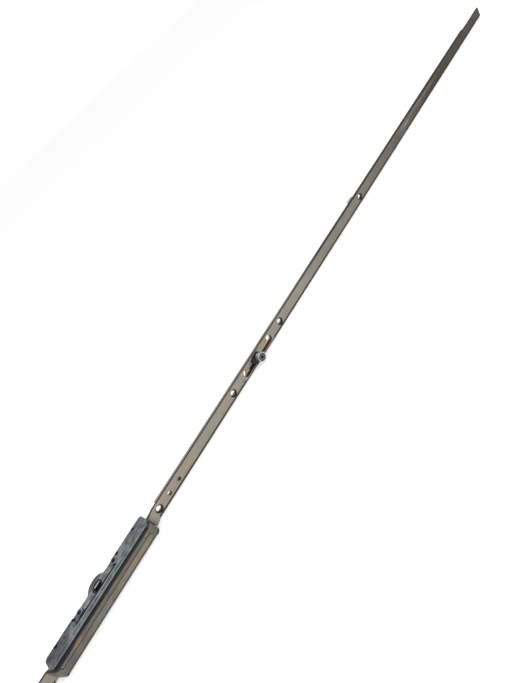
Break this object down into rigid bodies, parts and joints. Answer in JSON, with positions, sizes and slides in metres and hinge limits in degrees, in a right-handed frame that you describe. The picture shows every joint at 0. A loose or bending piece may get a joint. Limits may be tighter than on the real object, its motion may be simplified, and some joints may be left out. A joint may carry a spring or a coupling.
{
  "type": "window espagnolette gearbox",
  "caption": "Window espagnolette gearbox: handle-driven rack moves a drive rod behind a long slotted faceplate with mushroom roller cams.",
  "frame": {"origin": "on the axis of the handle spindle, halfway across the 12 mm width, centred between the two handle screw holes", "axes": "+X along the faceplate to its long upper end, -Y out of the front of the faceplate, +Z across the width to the side with the cast recess"},
  "size_m": [1.193, 0.0274, 0.0126],
  "materials": {
    "zinc": "mottled blue-grey zinc die casting, satin, worn bright at the edges",
    "faceplate_steel": "yellow-passivated zinc plating, satin, with a faint pink and green sheen",
    "rod_steel": "zinc-plated strip, dull",
    "cover_spacer_steel": "brown passivated steel",
    "rivet_steel": "brownish steel, satin",
    "follower_steel": "sintered steel, satin",
    "cam_steel": "bluish zinc-plated steel, satin",
    "black_plastic": "matt black moulding",
    "clip_plastic": "pale cream moulding, aged"
  },
  "bodies": {
    "case": {"gear_case": "zinc", "gear_case_cover": "zinc", "case_rivets": "rivet_steel", "upper_faceplate": "faceplate_steel", "lower_faceplate": "faceplate_steel", "upper_cover": "faceplate_steel", "upper_cover_spacer": "cover_spacer_steel", "lower_cover_spacer": "cover_spacer_steel", "cover_rivets": "rivet_steel", "guide_clip": "clip_plastic"},
    "drive": {"rack_slide": "rod_steel", "rod_rivets": "rivet_steel", "upper_drive_rod": "rod_steel", "lower_drive_rod": "rod_steel", "upper_cam_slider": "black_plastic", "upper_cam_washer": "black_plastic", "upper_cam_retainer": "black_plastic", "lower_cam_slider": "black_plastic", "lower_cam_washer": "black_plastic", "lower_cam_retainer": "black_plastic"},
    "follower": {"spindle_follower": "follower_steel"},
    "upper_cam": {"upper_cam_pin": "cam_steel"},
    "upper_roller": {"upper_cam_roller": "cam_steel"},
    "lower_cam": {"lower_cam_pin": "cam_steel"},
    "lower_roller": {"lower_cam_roller": "cam_steel"}
  },
  "joints": [
    {"name": "rod_slide", "type": "slide", "parent": "case", "child": "drive", "axis": [1, 0, 0], "range_m": [-0.013, 0.013]},
    {"name": "follower_turn", "type": "hinge", "parent": "case", "child": "follower", "pos_m": [0, 0, 0], "axis": [0, 0, 1], "range_deg": [-90, 90]},
    {"name": "upper_cam_turn", "type": "hinge", "parent": "drive", "child": "upper_cam", "pos_m": [0.235, -0.0075, 0], "axis": [0, -1, 0], "continuous": true},
    {"name": "upper_roller_spin", "type": "hinge", "parent": "upper_cam", "child": "upper_roller", "pos_m": [0.2358, -0.011, 0], "axis": [0, -1, 0], "continuous": true},
    {"name": "lower_cam_turn", "type": "hinge", "parent": "drive", "child": "lower_cam", "pos_m": [-0.235, -0.0075, 0], "axis": [0, -1, 0], "continuous": true},
    {"name": "lower_roller_spin", "type": "hinge", "parent": "lower_cam", "child": "lower_roller", "pos_m": [-0.2342, -0.011, 0], "axis": [0, -1, 0], "continuous": true}
  ],
  "couplings": [
    {"joint": "follower_turn", "follows": "rod_slide", "rad_per_m": 120.83}
  ]
}
